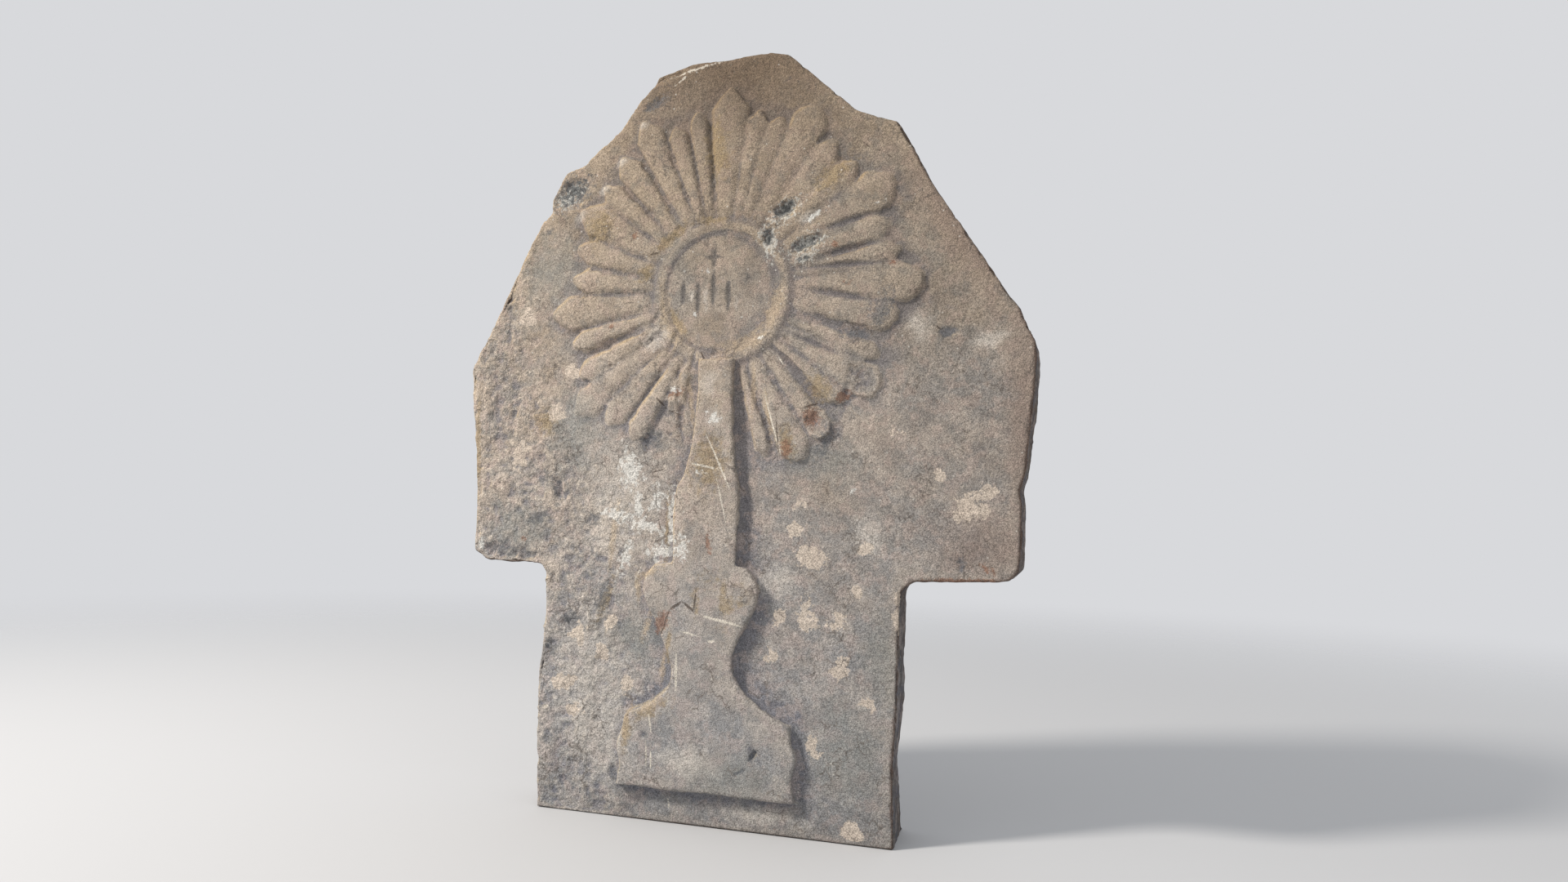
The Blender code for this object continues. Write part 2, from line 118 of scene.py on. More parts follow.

# Marks on the face, written in the same way: rosettes of lichen, patches where the stone is pale,
# tan crust with painted highlights along lit edges, lime, rust, ochre, soot with painted shade in the
# hollows, then the broad dark tone and russet tones, the worn strokes with painted shade in them, the dark
# pits, partly painted shade, with their pale rims, and patches where damp has stood.
LICHEN = (
    (-268, 592, 17, 19, 0), (-206, 523, 14, 14, 0), (-224, 473, 18, 14, 20), (-273, 421, 15, 25, -15),
    (205, 456, 13, 11, 0), (191, 452, 6, 8, 0), (95, 376, 21, 18, 30), (280, 372, 26, 21, 35),
    (300, 385, 12, 12, 0), (166, 323, 15, 10, 30), (106, 308, 25, 18, 0), (155, 273, 11, 9, 0),
    (-184, 209, 15, 15, 0), (-151, 188, 12, 14, 0), (-117, 154, 14, 15, 0), (-143, 223, 11, 13, -20),
    (-16, 165, 9, 10, 0), (67, 241, 11, 16, 0), (101, 240, 16, 16, 0), (139, 241, 16, 14, 0),
    (61, 198, 12, 13, 0), (144, 199, 12, 10, 0), (140, 185, 15, 10, 0), (171, 151, 12, 11, 0),
    (112, 101, 12, 21, 35), (160, 14, 16, 13, 0), (100, 262, 9, 8, 0), (-200, 150, 26, 12, 10),
    (85, 340, 13, 11, 0), (247, 404, 10, 8, 0), (-185, 118, 16, 10, 0), (204, 250, 7, 30, 0),
)
PALE = (
    (222, 569, 17, 22, 0), (-16, 509, 19, 24, 0), (-13, 465, 12, 13, 0), (170, 335, 22, 30, 10),
    (62, 282, 30, 24, 0), (300, 552, 28, 12, 10), (-36, 74, 46, 20, -6), (55, 20, 60, 12, -4),
    (91, 697, 14, 8, 25), (-121, 822, 9, 9, 0), (-147, 778, 10, 9, 30), (-169, 746, 10, 7, 20),
    (-198, 716, 13, 8, 20), (-51, 612, 4, 19, 0), (-32, 608, 4, 22, 0), (-13, 612, 4, 22, 0),
    (6, 610, 4, 16, 0), (-95, 560, 26, 14, 35), (-140, 360, 60, 80, 0), (-160, 120, 60, 110, 0),
    (-175, 215, 40, 40, 0),
)
# Tan crust, with painted highlights along the lit upper-left edges of the stand and on the ring's inner
# wall.
TAN_AND_LIT_EDGES = (
    (53, 592, 12, 38, -18), (18, 553, 40, 11, 22), (-84, 600, 8, 40, 5), (-70, 570, 12, 20, 35),
    (-108, 268, 5, 24, 8), (-94, 224, 5, 26, -16), (-72, 176, 5, 24, -6), (-92, 284, 22, 5, 20),
    (-60, 345, 4, 55, 0), (-46, 480, 4, 44, 6), (-84, 132, 26, 5, 30), (-112, 100, 5, 24, 0),
    (31, 500, 4, 40, 0), (50, 470, 4, 40, 8), (-142, 330, 5, 60, -6),
)
LIME = (
    (-122, 406, 15, 26, 20), (-138, 350, 25, 10, -10), (-102, 340, 27, 10, -12), (-67, 345, 7, 42, 0),
    (-76, 311, 26, 12, 14), (-47, 318, 9, 20, 5), (-112, 362, 7, 16, 0), (-127, 300, 7, 26, -18),
    (-325, 311, 6, 8, 0), (-88, 368, 8, 16, 0),
    (-12, 468, 9, 8, 0), (-32, 404, 10, 4, -10), (-64, 500, 7, 4, 0), (-89, 150, 4, 4, 0),
    (98, 697, 12, 4, 25), (176, 709, 4, 4, 0), (-62, 640, 3, 5, 0), (12, 585, 3, 3, 0), (40, 560, 3, 4, 0),
    (27, 622, 3, 3, 0), (-45, 590, 3, 3, 0), (-30, 640, 3, 3, 0), (150, 385, 3, 3, 0),
)
RUST = (
    (-72, 228, 11, 21, -35), (101, 468, 13, 15, 20), (-125, 686, 6, 6, 0), (-151, 577, 5, 4, 0),
    (125, 664, 6, 6, 0), (73, 431, 9, 14, 0), (-64, 496, 14, 6, 20), (137, 490, 12, 7, 30),
    (77, 10, 11, 6, 0), (-265, 318, 5, 4, 0), (190, 640, 6, 4, 0), (300, 305, 14, 5, -40),
    (280, 290, 60, 5, 0), (140, 620, 7, 4, 0), (-15, 320, 4, 26, 0),
)
OCHRE = (
    (-79, 681, 33, 8, 40), (-110, 640, 16, 10, 60), (-66, 578, 8, 26, 30), (-24, 700, 26, 6, 0),
    (-19, 414, 27, 36, 0), (73, 440, 12, 24, 10), (-240, 462, 18, 20, 20), (-335, 420, 6, 90, 0),
    (-20, 785, 18, 40, 0), (-150, 250, 7, 34, -20), (-75, 130, 34, 8, 30), (-110, 105, 8, 30, 0),
    (-72, 330, 4, 60, 0), (-62, 200, 5, 30, -10), (110, 500, 16, 22, 30), (120, 745, 30, 14, 40),
    (-170, 700, 26, 20, 40), (5, 250, 6, 50, 0), (-28, 264, 5, 34, 0), (26, 262, 12, 14, 0),
)
# Most soot marks lie in the knocked hollows, and are partly painted shade there.
SOOT_AND_HOLLOW_SHADE = (
    (-217, 745, 33, 24, 35), (-221, 384, 7, 19, 15), (-235, 398, 13, 6, -30), (-170, 345, 11, 8, 20),
    (46, 88, 5, 10, -30), (-88, 100, 6, 6, 0), (-192, 222, 22, 18, 30), (-222, 187, 10, 15, -20),
    (-285, 304, 48, 9, -5), (118, 440, 12, 26, -15), (253, 561, 14, 7, 10), (-105, 850, 20, 8, 25),
    (272, 309, 6, 10, 0), (30, 68, 12, 4, 35), (74, 198, 3, 3, 0), (-96, 439, 16, 14, 0),
    (150, 560, 18, 10, 0), (-245, 345, 20, 8, 20), (-155, 250, 10, 24, -20), (-132, 45, 7, 12, 0),
    (180, 590, 14, 26, -30), (-245, 700, 6, 6, 0),
)
SHADE = ((-5, 912, 255, 135, 0),)
RUSSET = ((262, 672, 110, 22, -56), (338, 470, 24, 150, 0), (300, 330, 60, 40, 0))
STROKES = (
    (-61, 614, 5, 22, 0), (-42, 608, 5, 28, 0), (-23, 622, 5, 32, 0), (-4, 611, 5, 26, 0),
    (-23, 659, 5, 22, 0), (-25, 657, 20, 4, 0), (18, 628, 4, 18, 0),
)
# The pits' dark colour is partly stain and partly painted shade.
PITS = (
    (62, 708, 17, 8, 32), (90, 664, 20, 6, 18), (44, 676, 6, 13, 15), (88, 650, 9, 4, 12),
    (-215, 748, 22, 12, 35),
)
RIMS = (
    (64, 705, 23, 12, 32), (90, 666, 28, 10, 18), (45, 672, 11, 20, 15), (88, 650, 14, 6, 12),
    (-222, 742, 22, 13, 35),
)
DAMP = (
    (-240, 650, 45, 60, -20), (150, 95, 50, 70, 0), (-110, 210, 45, 30, 0), (190, 200, 30, 60, 0),
    (20, 60, 70, 30, 0), (-270, 330, 50, 40, 0), (120, 420, 60, 30, 0), (-200, 450, 40, 60, 0),
)

# Stretches of the face that have crumbled, written in the same way.
CRUMBLED = (
    *PITS, (-95, 560, 30, 18, 35), (-70, 470, 14, 40, 5), (-96, 439, 20, 18, 0), (-217, 745, 31, 22, 35),
    (101, 468, 14, 16, 20), (-68, 227, 10, 17, -35), (73, 440, 12, 22, 10), (-79, 681, 34, 10, 40),
    (140, 500, 34, 30, 0), (-20, 420, 24, 34, 0), (20, 700, 30, 10, 0),
)

# Fine lines scratched or limed on the face, and a painted highlight along the stem's lit left edge, in
# millimetres: from x, z, to x, z, and half width.
SCRATCHES = (
    (-22, 447, 11, 381, 1.6), (-39, 413, -7, 407, 2.2), (-6, 392, 6, 345, 1.3), (44, 500, 67, 422, 1.8),
    (-19, 239, 27, 230, 2.4), (-45, 220, -25, 216, 1.9), (-13, 211, -3, 211, 2.2), (-50, 197, -49, 150, 2.4),
    # The first line here is the painted highlight along the stem's left edge.
    (-67, 386, -63, 300, 1.8), (-82, 125, -78, 104, 1.6), (-84, 90, -83, 66, 1.4), (-78, 84, -77, 62, 1.4),
    (58, 540, 66, 528, 1.5), (-60, 30, -58, 12, 2.2), (-100, 300, -118, 262, 2.0),
    (-104, 877, -10, 896, 3.4), (-82, 869, -60, 885, 2.4),
)

# Cracks and the edges of broken crust, written in the same way.
CRACKS = (
    (-74, 208, -60, 244, 1.4), (-59, 245, -45, 254, 2.4), (-45, 254, -30, 244, 2.4),
    (-88, 490, -77, 476, 1.8), (-77, 476, -57, 470, 1.6), (-57, 470, -55, 458, 1.6),
    (-55, 458, -65, 440, 1.5), (-104, 385, -92, 378, 1.8), (-106, 396, -104, 385, 1.8),
    (-100, 401, -72, 408, 2.2), (-106, 662, -92, 665, 2.4), (-38, 549, -29, 532, 2.0),
    (92, 478, 112, 484, 2.0), (-30, 244, -28, 268, 1.6), (60, 470, 64, 420, 1.4),
    (151, 783, 164, 773, 1.6), (164, 773, 177, 769, 1.8), (177, 769, 190, 758, 1.8),
    (234, 572, 248, 563, 1.8), (-90, 395, -86, 350, 1.6), (-86, 350, -78, 330, 1.6),
)

MARKS = {
    "lichen": LICHEN, "pale": PALE, "lime": LIME, "rust": RUST, "ochre": OCHRE, "soot": SOOT_AND_HOLLOW_SHADE,
    "shade": SHADE, "strokes": STROKES, "rims": RIMS, "pits": PITS, "damp": DAMP,
    "russet": RUSSET, "tan": TAN_AND_LIT_EDGES, "furrows": FURROWS,
}

# Marks that follow from the stone's form: worked out in map_marks, and read by the material too. Several of
# them place painted light and shade.
FORM_MARKS = ("groove", "hollow_broad", "rough", "lit_side", "side", "shaded_side", "rim")

# Stains and painted shade, from the lowest to the topmost layer: the mark, its colour, the raggedness of its
# edge in millimetres and as a share of the mark, how soft its edge is, and its strength.
STAINS = (
    ("shade", "#605040", 60, 0.4, 1.3, 0.85),
    ("damp", "#7F817D", 14, 1.4, 1.0, 0.5),
    ("russet", "#7C6B62", 26, 0.9, 1.6, 0.62),
    ("pale", "#C2BBB1", 15, 1.7, 0.9, 0.48),
    # Painted shadow on the face beside the edges that face right or down.
    ("rim", "#5B4A40", 6, 0.3, 0.4, 0.75),
    ("ochre", "#8F7B58", 6, 2.4, 0.9, 0.56),
    # Tan crust, with painted highlights along the lit edges of the stand and the ring.
    ("tan", "#B5A185", 5, 1.8, 0.9, 0.52),
    # Soot, with painted shade in the knocked hollows.
    ("soot", "#585B5F", 5, 3.2, 0.9, 0.62),
    # Painted shadow round the disc and outside the ring.
    ("groove", "#67615F", 4, 1.9, 0.8, 0.45),
    # Painted shade in the carved furrows.
    ("furrows", "#625D5E", 5, 1.8, 1.0, 0.5),
    # Painted shade in the shallow worn strokes.
    ("strokes", "#5F5B57", 4, 1.4, 0.7, 0.75),
    ("lichen", "#C6B8A8", 10, 2.3, 0.18, 0.7),
    ("rust", "#7F5C49", 4, 2.2, 0.6, 0.7),
    ("lime", "#D0CFC9", 6, 4.2, 0.6, 0.72),
    ("rims", "#BDBDB6", 4, 5.0, 0.7, 0.55),
    # Dark stain, with painted shade in the pits.
    ("pits", "#4B4E4F", 5, 4.6, 0.8, 0.78),
)

# Tints that multiply the stone's colour, as linear shares: cool near the ground, warm in the head.
COOL_TINT = (0.93, 0.99, 1.07, 1.0)
WARM_TINT = (0.80, 0.76, 0.69, 1.0)

# Dry, rough sandstone has hardly any gloss. The height of its bump is in millimetres.
STONE_ROUGHNESS = 0.93
STONE_IOR = 1.5
STONE_SPECULAR = 0.35
BUMP_HEIGHT = 2.2

# A Mix node that mixes colours has many inputs of the same name, so these go by number.
MIX_SHARE, MIX_UNDER, MIX_OVER, MIX_RESULT = 0, 6, 7, 2

# Large odd numbers that turn a corner of the noise and its seed into a value, and two shifts of bits
# with them. NOISE_SHIFT keeps the corners' numbers above zero.
CORNER_KEYS = (73856093, 19349663, 83492791)
SEED_KEY = 2654435761
STIRS = ((15, 2246822519), (13, 3266489917))
NOISE_SHIFT = 1000.0


def to_linear(code):
    """An sRGB colour written as hex, as the linear colour that a shader takes."""
    shares = [int(code[i:i + 2], 16) / 255 for i in (1, 3, 5)]
    return tuple(s / 12.92 if s <= 0.04045 else ((s + 0.055) / 1.055) ** 2.4 for s in shares) + (1.0,)


def step(values, low, high):
    """0 at low, 1 at high and a smooth rise between them. Low may be the larger number."""
    share = np.clip((values - low) / (high - low), 0, 1)
    return share * share * (3 - 2 * share)


def lumps(places, size, seed):
    """Smooth noise from -1 to 1, with lumps of about that many millimetres, the same each run."""
    cells = places / (size * MM) + NOISE_SHIFT
    corner = np.floor(cells).astype(np.int64)
    share = cells - corner
    share = share * share * (3 - 2 * share)
    total = np.zeros(len(places))
    for x, y, z in ((x, y, z) for x in (0, 1) for y in (0, 1) for z in (0, 1)):
        at = (corner + np.array((x, y, z))) * CORNER_KEYS
        key = at[:, 0] ^ at[:, 1] ^ at[:, 2] ^ seed * SEED_KEY
        for shift, factor in STIRS:
            key = ((key ^ key >> shift) * factor) & 0xFFFFFFFF
        value = (key >> 8) / float(1 << 23) - 1
        near = np.where(np.array((x, y, z)) == 1, share, 1 - share)
        total += near.prod(axis=1) * value
    return total


def closeness(places, spot):
    """How near each place on the face is to a mark's middle: 1 there, 0 on its edge, less beyond."""
    x, z, half_width, half_height, turn = spot
    cosine, sine = math.cos(math.radians(turn)), math.sin(math.radians(turn))
    across, up = places[:, 0] / MM - x, places[:, 2] / MM - z
    along = (across * cosine + up * sine) / half_width
    aside = (up * cosine - across * sine) / half_height
    return 1 - np.hypot(along, aside)


def nearest_mark(places, spots):
    """How near each place is to the nearest of the marks."""
    nearest = np.full(len(places), -1.0)
    for spot in spots:
        nearest = np.maximum(nearest, closeness(places, spot))
    return nearest


def read(mesh):
    """Places and normals of the mesh's points, as arrays."""
    count = len(mesh.vertices)
    places = np.empty(count * 3, np.float32)
    mesh.vertices.foreach_get("co", places)
    normals = np.empty(count * 3, np.float32)
    mesh.vertex_normals.foreach_get("vector", normals)
    return places.reshape(-1, 3).astype(float), normals.reshape(-1, 3).astype(float)


def write(mesh, places):
    """Moves the mesh's points to these places."""
    mesh.vertices.foreach_set("co", places.astype(np.float32).ravel())
    mesh.update()


def relaxed(mesh, values, rounds):
    """The values, a column each, with every point drawn half of the way to its neighbours' mean."""
    pairs = np.empty(len(mesh.edges) * 2, np.int32)
    mesh.edges.foreach_get("vertices", pairs)
    first, second = pairs.reshape(-1, 2).T
    count = len(values)
    neighbours = np.maximum(1, np.bincount(first, minlength=count) + np.bincount(second, minlength=count))
    for _ in range(rounds):
        columns = []
        for column in values.T:
            total = np.bincount(first, column[second], count) + np.bincount(second, column[first], count)
            columns.append(total / neighbours)
        values = values + 0.5 * (np.stack(columns, 1) - values)
    return values


def work_in(piece):
    """Makes the piece's modifiers part of its mesh."""
    depsgraph = bpy.context.evaluated_depsgraph_get()
    made = bpy.data.meshes.new_from_object(piece.evaluated_get(depsgraph))
    piece.modifiers.clear()
    piece.data = made


def fine_copy(node, name):
    """A finely and evenly meshed copy of a CAD node."""
    mesh = node.data.copy()
    bm = bmesh.new()
    bm.from_mesh(mesh)
    bmesh.ops.remove_doubles(bm, verts=bm.verts, dist=0.01 * MM)
    bm.to_mesh(mesh)
    bm.free()
    mesh.materials.clear()
    piece = bpy.data.objects.new(name, mesh)
    bpy.context.scene.collection.objects.link(piece)
    even = piece.modifiers.new("even", "REMESH")
    even.mode = "VOXEL"
    even.voxel_size = VOXEL * MM
    work_in(piece)
    return piece


def facing_front(normals):
    """1 where the surface faces the carved front, 0 on the sides and the back."""
    return step(-normals[:, 1], 0.15, 0.7)


def facing_back(normals):
    """1 where the surface faces the back, 0 on the sides and the front."""
    return step(normals[:, 1], 0.15, 0.7)


def from_sun(places):
    """How far each place is from the middle of the sun, in metres, seen from the front."""
    return np.hypot(places[:, 0] - SUN_X, places[:, 2] - SUN_Z)


def rough_share(places):
    """How rough the face is: hardly worn on the right, spalled on the left."""
    wander = 45 * MM * lumps(places, 90, seed=3)
    left = step(-(places[:, 0] + wander), 0.06, 0.19)
    carved = step(from_sun(places), 1.1 * SUN_REACH, 0.9 * SUN_REACH)
    return left * (1 - 0.85 * carved) * (1 - 0.5 * step(places[:, 2], 0.60, 0.78))


def softened(mesh, places, normals, away):
    """The places with the carving rounded as wear does. The fine strokes in the disc stay sharper."""
    rounded = relaxed(mesh, places, WORN_ROUNDS)
    kept = 0.7 * step(away, 0.95 * DISC_RADIUS, 0.8 * DISC_RADIUS) * facing_front(normals)
    return rounded + kept[:, None] * (places - rounded)


def rubbed_off(places, away):
    """Metres rubbed off what stands proud: most on the ring's left and the lower left ray ends."""
    share = 0.1 + 0.1 * step(places[:, 0], -0.03, 0.08)
    ring = step(away, 1.5 * DISC_RADIUS, 1.2 * DISC_RADIUS) * step(places[:, 0], 0.03, -0.03)
    share += 0.35 * ring * step(away, 0.9 * DISC_RADIUS, DISC_RADIUS)
    low_left = step(SUN_X - places[:, 0], 0.02, 0.06) * step(SUN_Z - places[:, 2], 0.06, 0.12)
    share += 0.38 * low_left * step(away, 0.6 * SUN_REACH, 0.85 * SUN_REACH)
    share *= step(away, SUN_REACH, 0.9 * SUN_REACH)
    proud = np.maximum(FACE_Y - places[:, 1], 0) * (places[:, 1] > FACE_Y - RAYS_WITHIN)
    return share * proud


def dulled(places):
    """Millimetres of unevenness that weather gives to all of the surface."""
    return (0.6 * lumps(places, 42, seed=11) + 0.35 * lumps(places, 15, seed=12)
            + 0.22 * lumps(places, 6, seed=13))


def spalled(places):
    """Millimetres flaked off the face's left, in patches about twice as tall as they are wide."""
    tall = places * np.array((1.0, 1.0, 0.45))
    flakes = (2.1 * lumps(tall, 25, seed=21) + 1.6 * np.abs(lumps(places, 11, seed=22))
              + 0.5 * lumps(places, 5, seed=23))
    return rough_share(places) * 1.7 * (1.0 + flakes)


def broken(places):
    """Millimetres lost from the broken sides."""
    facets = (1.5 * lumps(places, 28, seed=31) + 1.4 * np.abs(lumps(places, 11, seed=32))
              + 0.7 * lumps(places, 5, seed=33))
    return 0.8 + 0.75 * facets


def hewn(places):
    """Millimetres lost from the roughly hewn back."""
    blows = (2.0 * lumps(places, 60, seed=41) + 1.0 * lumps(places, 24, seed=42)
             + 0.6 * np.abs(lumps(places, 10, seed=43)))
    return 2.2 + 1.3 * blows


def chipped(places, normals):
    """Millimetres chipped off the edges, most where the slab's rim turns to the right."""
    edge = step(-normals[:, 1], 0.2, 0.5) * step(normals[:, 1], -0.95, -0.75)
    chips = step(lumps(places, 13, seed=51) + 0.4 * lumps(places, 5, seed=52), 0.15, 0.6)
    on_rim = step(places[:, 1], FACE_Y, FACE_Y + 1 * MM)
    return (1.0 + on_rim * (0.9 + 2.1 * step(normals[:, 0], 0.1, 0.4))) * edge * chips


def knocked(places):
    """Millimetres lost in the hollows, furrows and crumbled stretches of the face."""
    ragged = 0.25 * lumps(places, 9, seed=61)
    uneven = 1 + 0.35 * lumps(places, 6, seed=62)
    lost = np.zeros(len(places))
    for *spot, depth in HOLLOWS:
        lost += depth * step(closeness(places, spot) + ragged, -0.05, 0.7) * uneven
    furrowed = step(nearest_mark(places, FURROWS) + 0.2 * lumps(places, 9, seed=66), 0.0, 0.8)
    crumbled = step(nearest_mark(places, CRUMBLED) + 0.3 * lumps(places, 9, seed=63), 0.0, 0.5)
    crumbs = 1.3 * np.abs(lumps(places, 7, seed=64)) + 0.9 * lumps(places, 4, seed=65)
    return lost + FURROW_DEPTH * furrowed + crumbled * crumbs


def wear(mesh):
    """Softens the carving and wears, chips and breaks the surface, all inwards."""
    places, normals = read(mesh)
    away = from_sun(places)
    places = softened(mesh, places, normals, away)
    write(mesh, places)
    _, normals = read(mesh)
    places[:, 1] += rubbed_off(places, away)
    front, back = facing_front(normals), facing_back(normals)
    side = np.clip(1 - front - back, 0, 1)
    depth = dulled(places) + chipped(places, normals) + front * (spalled(places) + knocked(places))
    depth += side * broken(places) + back * hewn(places)
    depth = np.maximum(depth + EVEN_WEAR, 0) * step(places[:, 2], 0.0, FOOT_STRIP)
    write(mesh, places - normals * depth[:, None] * MM)


def thin_out(piece, most):
    """Leaves fewer, larger triangles where the surface is flat."""
    sides = np.empty(len(piece.data.polygons), np.int32)
    piece.data.polygons.foreach_get("loop_total", sides)
    fewer = piece.modifiers.new("fewer", "DECIMATE")
    fewer.ratio = min(1.0, most / float((sides - 2).sum()))
    work_in(piece)


def keep_in_box(mesh, box):
    """Moves what lies outside the box onto its sides."""
    places, _ = read(mesh)
    write(mesh, np.clip(places, np.array(box[0]), np.array(box[1])))


def note(mesh, name, values):
    """Keeps one number for each point of the mesh, for the material to read."""
    mesh.attributes.new(name, "FLOAT", "POINT").data.foreach_set("value", values.astype(np.float32))


def in_shadow_band(away, groove):
    """How near a place is to the middle of a band of painted shadow round the disc: 1 there, 0 on its edge.
    """
    radius, half_width = groove
    return 1 - np.abs(away / MM - radius) / half_width


def map_marks(mesh):
    """Notes where the lichen, stains, dirt, painted light and painted shade lie, and how the surface faces.
    """
    places, normals = read(mesh)
    front = facing_front(normals)
    for name, spots in MARKS.items():
        note(mesh, name, np.where(front > 0.02, nearest_mark(places, spots), -1.0))
    broad = relaxed(mesh, places, BROAD_ROUNDS)
    # How deep each point lies in a broad hollow, in millimetres, for the dirt and painted shade there.
    note(mesh, "hollow_broad", ((broad - places) * normals).sum(axis=1) / MM)
    note(mesh, "rough", front * rough_share(places))
    # Painted highlight: how far the face turns up and to the left, towards the light.
    note(mesh, "lit_side", front * (0.6 * normals[:, 2] - 0.8 * normals[:, 0]))

    # The sides, with the rounded edges that face right or down added as painted shade, and a painted shadow
    # on the face beside those edges.
    shaded_side = step(normals[:, 0] - normals[:, 2], 0.1, 0.4)
    flank = 1 - front + shaded_side * (front - step(-normals[:, 1], 0.5, 0.95))
    behind = step(places[:, 1], FACE_Y, FACE_Y + 2 * MM)
    side = behind * (flank - facing_back(normals))
    note(mesh, "side", side)
    note(mesh, "shaded_side", side * shaded_side)
    note(mesh, "rim", front * relaxed(mesh, (side * shaded_side)[:, None], RIM_ROUNDS)[:, 0])

    # Painted shadow: along the disc's edge on the left, and outside the ring on the right.
    away = from_sun(places)
    outside, inside = in_shadow_band(away, RING_SHADOW), in_shadow_band(away, DISC_SHADOW)
    note(mesh, "groove", np.where(places[:, 0] > SUN_X, outside, inside) * front)


def add(tree, kind, inputs, **settings):
    """Adds a node with its settings. An input goes by its name, or by its number where names repeat,
    and is a number, a colour or another node's output."""
    made = tree.nodes.new(kind)
    for name, value in settings.items():
        setattr(made, name, value)
    for key, value in inputs.items():
        if isinstance(value, bpy.types.NodeSocket):
            tree.links.new(value, made.inputs[key])
        else:
            made.inputs[key].default_value = value
    return made


def speckle(tree, place, size, seed, detail=2.0):
    """Noise from 0 to 1 with lumps of that many millimetres."""
    moved = add(tree, "ShaderNodeVectorMath", {0: place, 1: (seed * 1.7, seed * 2.3, seed * 3.1)})
    lumpy = {"Vector": moved.outputs[0], "Scale": 1 / (size * MM), "Detail": detail, "Roughness": 0.6}
    return add(tree, "ShaderNodeTexNoise", lumpy).outputs[0]


def torn(tree, place, value, size, seed, ragged):
    """The value with its even edges torn by noise that adds up to that much to it."""
    rags = {0: speckle(tree, place, size, seed, detail=4), 1: ragged, 2: value}
    return add(tree, "ShaderNodeMath", rags, operation="MULTIPLY_ADD").outputs[0]


def stained(tree, under, code, value, low, high, strength):
    """Lays a colour over what is under it, more and more as the value goes from low to high."""
    rise = {"Value": value, "From Min": low, "From Max": high, "To Max": strength}
    share = add(tree, "ShaderNodeMapRange", rise, interpolation_type="SMOOTHSTEP").outputs[0]
    layers = {MIX_SHARE: share, MIX_UNDER: under, MIX_OVER: to_linear(code)}
    return add(tree, "ShaderNodeMix", layers, data_type="RGBA").outputs[MIX_RESULT]


def shaded(tree, under, value, low, high, least, most):
    """Darkens or lightens what is under it, from least at low to most at high."""
    rise = {"Value": value, "From Min": low, "From Max": high, "To Min": least, "To Max": most}
    factor = add(tree, "ShaderNodeMapRange", rise, interpolation_type="SMOOTHSTEP").outputs[0]
    layers = {MIX_SHARE: 1.0, MIX_UNDER: under, MIX_OVER: factor}
    mixed = add(tree, "ShaderNodeMix", layers, data_type="RGBA", blend_type="MULTIPLY")
    return mixed.outputs[MIX_RESULT]


def line_share(tree, place, line):
    """How near a place is to a thin line on the face: 1 on its middle, 0 off it."""
    # An ellipsoid half as long again as the line, because its ends fade out, and 50 mm deep.
    x0, z0, x1, z1, half_width = line
    middle = ((x0 + x1) / 2 * MM, cad_box[0].y, (z0 + z1) / 2 * MM)
    size = (0.75 * math.hypot(x1 - x0, z1 - z0) * MM, 25 * MM, half_width * MM)
    turned = (0.0, -math.atan2(z1 - z0, x1 - x0), 0.0)
    spot = {"Vector": place, "Location": middle, "Rotation": turned, "Scale": size}
    local = add(tree, "ShaderNodeMapping", spot, vector_type="TEXTURE")
    inside = {"Vector": local.outputs[0]}
    return add(tree, "ShaderNodeTexGradient", inside, gradient_type="SPHERICAL").outputs[1]


def bed_colour(tree, place, height):
    """The bed's own colour: warm above, greyer below, with paler and darker clouds."""
    drift = {0: height, 1: -0.45, 2: speckle(tree, place, 110, seed=1)}
    drift = add(tree, "ShaderNodeMath", drift, operation="MULTIPLY_ADD").outputs[0]
    colour = stained(tree, to_linear("#908B86"), "#968A7D", drift, 0.42, 0.12, 1.0)
    pale_clouds = speckle(tree, place, 48, seed=2, detail=4)
    dark_clouds = speckle(tree, place, 36, seed=3, detail=4)
    colour = stained(tree, colour, "#AFA397", pale_clouds, 0.44, 0.62, 0.65)
    return stained(tree, colour, "#827870", dark_clouds, 0.48, 0.66, 0.5)


def mottle(tree, colour, place, rough):
    """Dark and pale mottling 9 to 12 mm across, strongest where the face has spalled."""
    strength = add(tree, "ShaderNodeMapRange", {"Value": rough, "To Min": 0.25, "To Max": 0.62}).outputs[0]
    dark_spots = speckle(tree, place, 12, seed=4, detail=4)
    pale_spots = speckle(tree, place, 9, seed=5, detail=4)
    colour = stained(tree, colour, "#727270", dark_spots, 0.48, 0.66, strength)
    return stained(tree, colour, "#C2B6A7", pale_spots, 0.50, 0.68, strength)


def hollow_dirt_and_shade(tree, colour, mark):
    """Dirt and painted shade in the hollows, paler ridges that are partly rubbed and partly a painted
    highlight, and a tan painted highlight on the slopes that face the light.
    """
    # Darker in broad hollows, as dirt and painted shade; paler on ridges, as wear and painted highlight.
    colour = stained(tree, colour, "#69686F", mark["hollow_broad"], 0.05, 1.3, 0.62)
    colour = stained(tree, colour, "#B4A696", mark["hollow_broad"], -0.2, -1.4, 0.42)
    # A tan painted highlight where the face turns to the light at the upper left.
    return stained(tree, colour, "#B8A27E", mark["lit_side"], 0.2, 0.65, 0.6)


